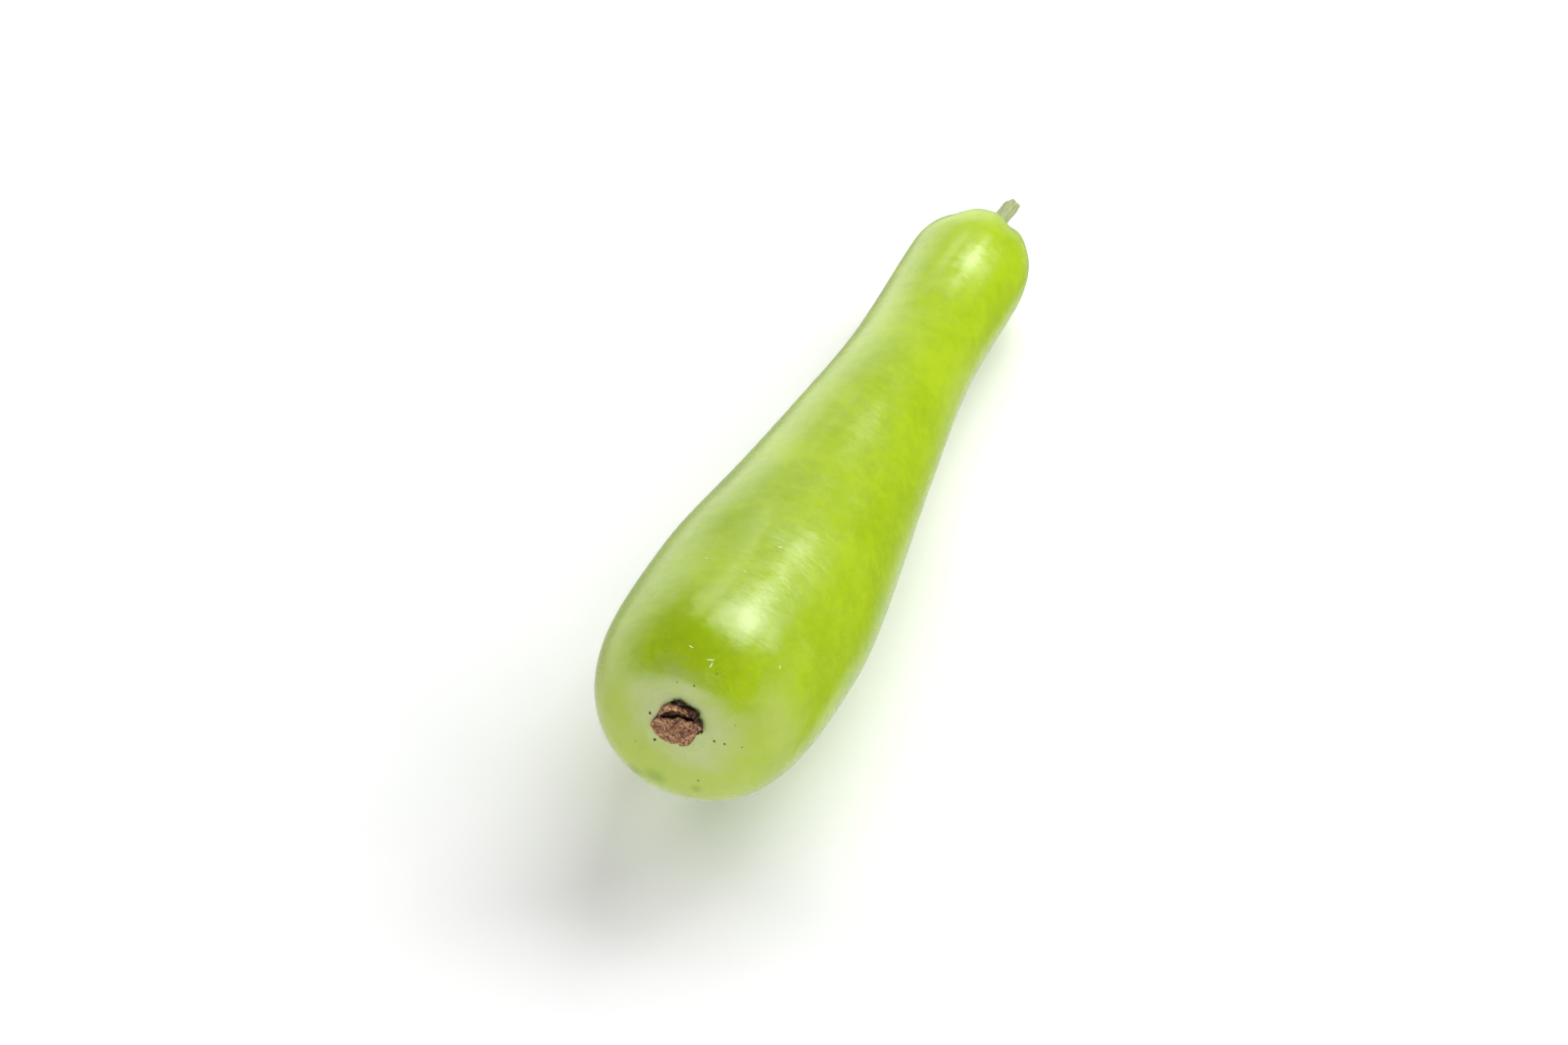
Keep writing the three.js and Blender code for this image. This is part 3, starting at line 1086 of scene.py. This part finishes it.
@dataclass
class DriedFlower:
    """The crumpled remains of the flower in the blossom scar.

    A dark ragged bed fills the scar. A light brown flap stands off it like a
    shield, a curled lip arches over the slit above the flap, and dark shreds
    stand round the open side.
    """

    bed_thickness: float = 1.5 * MM
    bed_height: float = 1.1 * MM
    bed_lift: Pair = (0.4 * MM, 1.1 * MM)
    bed_crumple: float = 1.1 * MM
    bed_pitch: float = 420.0
    bed_rim: tuple[Pair, ...] = (
        (-5.3, 5.0), (-3.5, 6.8), (-1.4, 8.3), (-0.1, 10.8), (1.2, 10.5), (2.1, 8.8),
        (4.1, 8.6), (7.3, 8.2), (8.5, 6.9), (8.2, 5.2), (9.8, 4.2), (10.1, 2.5),
        (9.2, -0.6), (6.4, -3.0), (5.2, -5.4), (2.8, -7.8), (-2.0, -8.4), (-6.8, -6.8),
        (-9.4, -3.0), (-8.2, 1.0),
    )
    flap_centre: Pair = (0.2, -2.6)
    flap_rim: tuple[Pair, ...] = (
        (-6.9, 1.9), (-4.8, 1.9), (-1.0, 3.1), (1.3, 4.2), (3.4, 3.8), (6.4, 3.4),
        (8.6, 3.4), (9.9, 1.6), (8.4, -0.1), (7.3, -2.2), (6.7, -5.2), (5.2, -7.6),
        (3.0, -9.0), (0.5, -8.8), (-2.1, -9.0), (-5.0, -8.6), (-7.2, -7.4),
        (-9.0, -5.6), (-10.0, -3.1), (-9.2, -0.8),
    )
    flap_thickness: float = 0.8 * MM
    flap_foot: float = 1.35 * MM
    flap_rise: float = 1.6 * MM
    flap_span: Pair = (-8.5 * MM, 3 * MM)
    flap_dome: float = 0.7 * MM
    flap_half: float = 9.5 * MM
    flap_crumple: Pair = (1.3 * MM, 0.9 * MM)
    flap_pitch: Pair = (340.0, 950.0)
    lip_centre: Pair = (-0.5, 1.4)
    lip_radius: float = 6.1 * MM
    lip_width: float = 1.15 * MM
    lip_span: Pair = (0.68, 3.10)
    lip_height: float = 2.6 * MM
    lip_stretch: float = 1.45
    lip_pitch: float = 520.0
    lip_slim: float = 0.35
    lip_swell: Pair = (0.6, 0.75)
    shred_count: int = 26
    shred_start: float = -0.05
    shred_sweep: float = 1.9
    shred_stray: float = 0.1
    shred_arm: Pair = (7.2, 8.7)
    shred_tall: Pair = (1.6, 3.4)
    shred_wide: Pair = (0.9, 1.9)
    shred_foot: float = 0.8 * MM
    shred_thickness: float = 0.28 * MM
    shred_pitch: float = 700.0
    seed: int = 5

    def bed_relief(self, right: float, up: float) -> Pair:
        """The height of the bed and how crumpled it is at a place."""
        crest = ridge(Vector((right, up, 0.0)) * self.bed_pitch)
        open_side = smooth_step(right + up, 0.0, 8 * MM)
        rim = smooth_step(math.hypot(right, up), 6 * MM, 9 * MM)
        lift = (self.bed_lift[0] + self.bed_lift[1] * open_side) * rim
        relief = (crest - MIDDLE_CREST) * self.bed_crumple
        return self.bed_height + lift + relief, crest * 0.8

    def flap_relief(self, right: float, up: float) -> Pair:
        """The height of the flap and how crumpled it is at a place."""
        crest = ridge(Vector((right, up, 0.004)) * self.flap_pitch[0])
        fine = ridge(Vector((right * 0.8, up * 1.4, 0.009)) * self.flap_pitch[1])
        rise = self.flap_rise * smooth_step(up, *self.flap_span)
        dome = self.flap_dome * (1 - (right / self.flap_half) ** 2)
        height = self.flap_foot + rise + dome + (crest - MIDDLE_CREST) * self.flap_crumple[0]
        height += (fine - MIDDLE_CREST) * self.flap_crumple[1]
        return height, 0.4 * crest + 0.6 * fine

    def flap(self) -> BMesh:
        """Builds the shield-shaped flap."""
        centre = (self.flap_centre[0] * MM, self.flap_centre[1] * MM)
        rim = through(self.flap_rim, self.flap_centre, 0.35 * MM, 5.0)
        # The flap pales towards its rim: partly bleached, partly a painted highlight.
        return flake(rim, self.flap_thickness, 30, 160, self.flap_relief,
                     FLOWER_SEAT, centre, 0.3)

    def bed(self) -> BMesh:
        """Builds the ragged bed that fills the scar."""
        rim = through(self.bed_rim, (0.0, 0.0), 0.3 * MM, 6.0)
        return flake(rim, self.bed_thickness, 20, 128, self.bed_relief, FLOWER_SEAT)

    def lip(self) -> BMesh:
        """Builds the curled lip by turning a small circle through an arc."""
        start, end = self.lip_span
        lip = rolled(self.lip_radius, self.lip_width, 14, 52, self.lip_span,
                     self.lip_stretch)
        crumple = lip.verts.layers.float_vector.new("crumple")
        for vert in lip.verts:
            angle = math.atan2(vert.co.y, vert.co.x)
            share = (angle - start) / (end - start)
            crest = ridge(vert.co * self.lip_pitch + Vector((5, 2, 1)))
            slim = math.sin(math.pi * min(max(share, 0.02), 0.98)) ** 0.5
            slim = self.lip_slim + (1 - self.lip_slim) * slim
            arm = Vector((math.cos(angle), math.sin(angle), 0)) * self.lip_radius
            swell = self.lip_swell[0] + self.lip_swell[1] * crest
            spot = arm + (vert.co - arm) * slim * swell
            # The lip is paler all over: partly bleached, partly a painted highlight.
            vert[crumple] = Vector((crest, 0.5, 0.4))
            vert.co = FLOWER_SEAT.place(
                spot.x + self.lip_centre[0] * MM,
                spot.y + self.lip_centre[1] * MM,
                spot.z + self.lip_height * (0.75 + 0.25 * math.sin(math.pi * share)),
            )
        bmesh.ops.recalc_face_normals(lip, faces=lip.faces[:])
        return lip

    def shreds(self) -> Iterable[BMesh]:
        """Builds the dark shreds that stand round the rim.

        Yields:
            One mesh for each shred.
        """
        draw = random.Random(self.seed)
        for number in range(self.shred_count):
            share = number / (self.shred_count - 1)
            stray = draw.uniform(-self.shred_stray, self.shred_stray)
            angle = self.shred_start + share * self.shred_sweep + stray
            radius, tall, wide = (
                draw.uniform(*span) * MM
                for span in (self.shred_arm, self.shred_tall, self.shred_wide)
            )
            arm = FLOWER_SEAT.right * math.cos(angle) + FLOWER_SEAT.up * math.sin(angle)
            around = FLOWER_SEAT.out.cross(arm)
            tilt = draw.uniform(-0.25, 0.75)
            grow = (FLOWER_SEAT.out + arm * tilt + around * draw.uniform(-0.5, 0.5)).normalized()
            foot = FLOWER_SEAT.place(radius * math.cos(angle), radius * math.sin(angle),
                                     self.shred_foot)
            side = around.lerp(arm, draw.uniform(-0.3, 0.3)).normalized()
            seat = Seat(foot, side, grow, side.cross(grow))
            shift = draw.uniform(0, 50)

            def relief(right: float, up: float) -> Pair:
                """The curl of the shred and how crumpled it is at a place."""
                crest = ridge(Vector((right, up, shift * MM)) * self.shred_pitch)
                curl = (up / tall) ** 2 * tall * 0.25
                return curl + (crest - MIDDLE_CREST) * 0.6 * MM, crest * 0.85

            def rim(turn: float) -> float:
                """The distance to the rim at an angle."""
                spot = Vector((math.cos(turn) * 2.5, math.sin(turn) * 2.5, shift))
                round_rim = 1 / math.hypot(math.cos(turn) / wide, math.sin(turn) / (tall / 2))
                return round_rim * (1 + 0.45 * noise.noise(spot))

            yield flake(rim, self.shred_thickness, 5, 28, relief, seat, (0.0, tall / 2))

    def build(self) -> None:
        """Builds and dresses the flap, the lip, the bed and the shreds."""
        # In each finish the first colour is also painted shade in the creases, and the third
        # painted highlight on the crests.
        light = DryFinish("dry_flap", (0.055, 0.023, 0.011), (0.27, 0.130, 0.068),
                          (0.60, 0.340, 0.185), (0.20, 0.095, 0.070)).material()
        dark = DryFinish("dry_bed", (0.010, 0.005, 0.003), (0.095, 0.042, 0.018),
                         (0.27, 0.130, 0.058), (0.055, 0.024, 0.013)).material()
        bed = finished_piece("flower_bed", self.bed(), dark, Slot.FLOWER)
        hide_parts(Solid.FLOWER.value)
        finished_piece("flower_flap", self.flap(), light, Slot.FLOWER)
        finished_piece("flower_lip", self.lip(), light, Slot.FLOWER)
        finished_piece("flower_shreds", joined(self.shreds()), dark, Slot.FLOWER)


@dataclass
class StalkCollar:
    """The withered, hairy ring in the pit, where the stalk leaves the fruit."""

    radius: float = 6.5 * MM
    width: float = 0.75 * MM
    height: float = 0.9 * MM
    sides: int = 16
    steps: int = 120
    pitch: float = 500.0
    swell: Pair = (0.4, 0.9)
    hairs: HairCoat = HairCoat("collar_hairs", 900, length=2.0 * MM, thickness=0.06 * MM,
                               lean=0.7, sink=0.03 * MM, seed=23)

    def shape(self) -> BMesh:
        """Builds the ring by a full spin of a small circle.

        Returns:
            The ring's mesh with its crumple attribute. The caller frees it.
        """
        ring = rolled(self.radius, self.width, self.sides, self.steps)
        crumple = ring.verts.layers.float_vector.new("crumple")
        for vert in ring.verts:
            angle = math.atan2(vert.co.y, vert.co.x)
            arm = Vector((math.cos(angle), math.sin(angle), 0)) * self.radius
            crest = ridge(vert.co * self.pitch)
            swell = self.swell[0] + self.swell[1] * crest
            spot = arm + (vert.co - arm) * swell
            vert[crumple] = Vector((crest, 0.5, 0))
            vert.co = STALK_SEAT.place(spot.x, spot.y, spot.z + self.height)
        bmesh.ops.recalc_face_normals(ring, faces=ring.faces[:])
        return ring

    def faces_out(self, face: BMFace) -> bool:
        """Whether a face of the ring looks out of the pit."""
        return face.normal.dot(STALK_SEAT.out) > 0.0

    def build(self) -> None:
        """Builds and dresses the collar and its hairs."""
        ring = self.shape()
        ring.normal_update()
        hairs = self.hairs.shape(ring, self.faces_out)
        # The first colour is also painted shade in the creases, and the third painted highlight
        # on the crests.
        dry = DryFinish("dry_collar", (0.09, 0.05, 0.03), (0.22, 0.13, 0.09),
                        (0.36, 0.30, 0.17), (0.24, 0.11, 0.10)).material()
        pale = HairFinish("collar_hair", (0.50, 0.44, 0.32), (0.78, 0.76, 0.66)).material()
        finished_piece("stalk_collar", ring, dry, Slot.STALK)
        finished_piece(self.hairs.name, hairs, pale, Slot.STALK)


@dataclass
class SkinDown:
    """The sparse, short down that catches the light along the gourd's edges."""

    lowest: float = 1.5 * MM
    scar_clearance: float = 11 * MM
    hairs: HairCoat = HairCoat("skin_down", 15000, length=0.55 * MM, thickness=0.035 * MM,
                               lean=0.8, sink=0.02 * MM, seed=7)

    def grows(self, face: BMFace) -> bool:
        """Whether down grows on a face, which is off the floor and off the scar."""
        centre = face.calc_center_median()
        off_scar = (centre - FLOWER_SEAT.centre).length > self.scar_clearance
        return centre.z > self.lowest and off_scar

    def build(self, skin: BMesh) -> None:
        """Builds and dresses the down.

        Args:
            skin: The mesh that it stands on.
        """
        finish = HairFinish("skin_hair", (0.66, 0.76, 0.42), (0.80, 0.86, 0.62))
        shape = self.hairs.shape(skin, self.grows)
        finished_piece(self.hairs.name, shape, finish.material(), Slot.SKIN)


@dataclass
class SkinMarks:
    """Small dark scabs and pale nicks that sit on the skin near the scar."""

    dark_spots: tuple[tuple[float, float, float], ...] = (
        (-10.9, 0.8, 0.50), (-8.4, -10.2, 0.58), (14.3, -3.8, 0.42), (18.0, -4.2, 0.36),
        (4.5, 16.7, 0.32), (-2.0, 16.5, 0.24), (24.0, -5.0, 0.26), (9.0, -24.0, 0.34),
        (-16.0, -14.0, 0.26), (11.0, 21.0, 0.22), (21.0, 4.0, 0.22),
    )
    pale_spots: tuple[tuple[float, float, float, float], ...] = (
        (7.4, 24.5, 1.6, 0.4), (8.2, 23.1, 1.1, 1.3), (-0.8, 26.8, 1.0, -0.4),
        (10.1, 38.6, 0.9, 0.9), (-12.9, 36.1, 0.9, 0.2), (3.7, 37.4, 0.8, -0.7),
        (29.0, 19.0, 0.9, 0.9),
    )
    spot_stretch: float = 1.3
    nick_width: float = 0.22
    ruggedness: float = 0.35
    bow: float = 0.25
    flatness: float = 0.3

    def scab(self, tree: BVHTree, right: float, up: float, size: float,
             stretch: float, turn: float) -> BMesh:
        """Builds one scab on the skin.

        Args:
            tree: The skin, ready to be searched.
            right: Where it lies across the scar's plane, in millimetres.
            up: Where it lies up the scar's plane, in millimetres.
            size: Its half width, in millimetres.
            stretch: How many times longer it is than wide.
            turn: The angle of its long side.

        Returns:
            The scab's mesh. The caller frees it.
        """
        start = FLOWER_SEAT.place(right * MM, up * MM, 60 * MM)
        spot, normal, _, _ = tree.ray_cast(start, -FLOWER_SEAT.out)
        side = FLOWER_SEAT.right * math.cos(turn) + FLOWER_SEAT.up * math.sin(turn)
        side = (side - normal * side.dot(normal)).normalized()
        across = normal.cross(side)
        scab = bmesh.new()
        bmesh.ops.create_icosphere(scab, subdivisions=2, radius=1.0)
        for vert in scab.verts:
            x, y, z = vert.co
            rough = 1 + self.ruggedness * noise.noise(vert.co * 1.7 + start * 900)
            flat = Vector((x * stretch, y + self.bow * x ** 2, z * self.flatness)) * rough
            vert.co = spot + (side * flat.x + across * flat.y + normal * flat.z) * size * MM
        return scab

    def build(self, skin: BMesh) -> None:
        """Builds and dresses the marks.

        Args:
            skin: The mesh that they sit on.
        """
        tree = BVHTree.FromBMesh(skin)
        wide = self.nick_width
        dark = joined(self.scab(tree, right, up, size, self.spot_stretch, right)
                      for right, up, size in self.dark_spots)
        pale = joined(self.scab(tree, right, up, wide, length / wide, turn)
                      for right, up, length, turn in self.pale_spots)
        soot = SpeckFinish("dark_scab", (0.012, 0.010, 0.004), (0.05, 0.045, 0.015))
        cork = SpeckFinish("pale_scab", (0.55, 0.66, 0.30), (0.78, 0.82, 0.58))
        finished_piece("dark_marks", dark, soot.material(), Slot.SKIN)
        finished_piece("pale_marks", pale, cork.material(), Slot.SKIN)


@dataclass(frozen=True)
class Softbox:
    """A lamp with a wide white face.

    Attributes:
        name: Its name.
        azimuth: Its bearing from the gourd's long direction, in degrees.
        elevation: How high it hangs above the floor's plane, in degrees.
        width: The width of its face.
        height: The height of its face.
        power: Its power in watts.
        reach: The surfaces that it lights or shows in.
    """

    name: str
    azimuth: float
    elevation: float
    width: float
    height: float
    power: float
    reach: Reach

    def hang(self, target: Vector) -> None:
        """Hangs the lamp.

        Args:
            target: The point that it lights.
        """
        way = bearing(self.azimuth, self.elevation)
        light = bpy.data.lights.new(self.name, "AREA")
        light.shape = "RECTANGLE"
        light.size, light.size_y = self.width, self.height
        light.energy = self.power
        lamp = bpy.data.objects.new(self.name, light)
        lamp.location = target + way * self.reach.value
        lamp.rotation_euler = way.to_track_quat("Z", "Y").to_euler()
        lamp.visible_diffuse = self.reach is Reach.MATT
        lamp.visible_glossy = self.reach is Reach.GLOSS
        bpy.context.scene.collection.objects.link(lamp)


@dataclass
class Studio:
    """The floor, the lamps, the pale surroundings and the camera.

    Each wall, and the ground near it, has two shares of its direction, and
    how bright it is at each. Height and tilt are shares of the distance.
    """

    floor_size: float = 3.0
    floor_drop: float = 0.05 * MM
    lamps: tuple[Softbox, ...] = (
        Softbox("key_gleam", 24.0, 43.0, 1.50, 1.25, 44.0, Reach.GLOSS),
        Softbox("key_glow", 20.0, 53.0, 3.00, 1.70, 90.0, Reach.GLOSS),
        Softbox("low_gleam", 45.0, 31.0, 1.20, 1.00, 14.0, Reach.GLOSS),
        Softbox("side_gleam", -26.0, 39.0, 1.40, 1.40, 16.0, Reach.GLOSS),
        Softbox("back_box", 4.0, 47.0, 1.4, 1.0, 28.5, Reach.MATT),
        Softbox("key_box", 42.0, 32.0, 1.0, 1.0, 19.0, Reach.MATT),
        Softbox("right_box", 86.0, 14.0, 1.2, 0.7, 15.0, Reach.MATT),
        Softbox("left_box", -64.0, 32.0, 1.2, 0.7, 12.0, Reach.MATT),
        Softbox("front_box", 172.0, 14.0, 1.6, 0.7, 20.0, Reach.MATT),
    )
    left_wall: tuple[float, float, float, float] = (-0.55, 0.38, 1.70, 0.04)
    front_wall: tuple[float, float, float, float] = (0.15, 0.55, 0.8, 0.0)
    near_ground: tuple[float, float, float, float] = (-0.70, -0.57, 0.75, 0.42)
    pale_ground: Pair = (0.28, 0.50)
    dark_ground: float = 0.05
    wall_foot: Pair = (-0.42, -0.15)
    wall_top: Pair = (0.15, 0.52)
    room_light: float = 0.06
    lamp_target: Vector = Vector((0.0, -0.02, 0.04))
    camera_place: Vector = Vector((0.33961, -0.93807, 0.96259))
    camera_azimuth: float = 21.58
    camera_elevation: float = 44.07
    lens: float = 77.28

    def floor(self) -> None:
        """Lays the floor."""
        shape = bmesh.new()
        bmesh.ops.create_grid(shape, x_segments=8, y_segments=8, size=self.floor_size)
        bmesh.ops.translate(shape, verts=shape.verts[:], vec=(0, 0, -self.floor_drop))
        mesh = bpy.data.meshes.new("floor")
        shape.to_mesh(mesh)
        shape.free()
        mesh.materials.append(FloorFinish().material())
        floor = bpy.data.objects.new("floor", mesh)
        bpy.context.scene.collection.objects.link(floor)
        floor.visible_glossy = False
        floor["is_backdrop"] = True

    def surroundings(self) -> None:
        """Makes the room dim, but for pale walls low on the left and in front.

        The floor doesn't show in glossy surfaces, so the walls also reach
        below the horizon there, down to a pale ground.
        """
        world = bpy.data.worlds.new("studio")
        bpy.context.scene.world = world
        room = Sheet(world, "Background")
        across, along, height = room.parts(room.place("Generated"))
        near = room.ramp(height, *self.near_ground)
        ground = room.ramp(across, *self.pale_ground, near, self.dark_ground)
        left = room.ramp(across, *self.left_wall)
        left = room.ramp(height, *self.wall_foot, ground, left)
        walls = room.math("MAXIMUM", left, room.ramp(along, *self.front_wall))
        light = room.ramp(height, *self.wall_top, walls, self.room_light)
        room.set(Color=(1.0, 1.0, 1.0), Strength=light)

    def camera(self) -> None:
        """Sets up the camera at the photograph's viewing angle."""
        view = bearing(-self.camera_azimuth, -self.camera_elevation)
        data = bpy.data.cameras.new("camera")
        data.lens = self.lens
        data.sensor_width = 36.0
        data.clip_start, data.clip_end = 0.05, 20.0
        camera = bpy.data.objects.new("camera", data)
        camera.location = self.camera_place
        camera.rotation_euler = view.to_track_quat("-Z", "Y").to_euler()
        bpy.context.scene.collection.objects.link(camera)
        bpy.context.scene.camera = camera

    def build(self) -> None:
        """Builds the studio round the gourd."""
        bpy.context.scene.view_settings.view_transform = "Standard"
        self.floor()
        self.surroundings()
        for lamp in self.lamps:
            lamp.hang(self.lamp_target)
        self.camera()


def main() -> None:
    """Builds the gourd piece by piece, then the studio, and notes the sizes."""
    logging.basicConfig(level=logging.INFO, format="%(name)s: %(message)s")
    noise.seed_set(FOLD_SEED)
    cad_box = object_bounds()
    skin = GourdSkin()
    skin_shape = skin.shape()
    SkinDown().build(skin_shape)
    SkinMarks().build(skin_shape)
    skin.build(skin_shape)
    CutStalk().build()
    StalkCollar().build()
    DriedFlower().build()
    Studio().build()
    boxes = {"cad": cad_box, "visual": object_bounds()}
    for name, box in boxes.items():
        log.info("%s box: %s to %s", name, list(box[0]), list(box[1]))


if __name__ == "__main__":
    main()
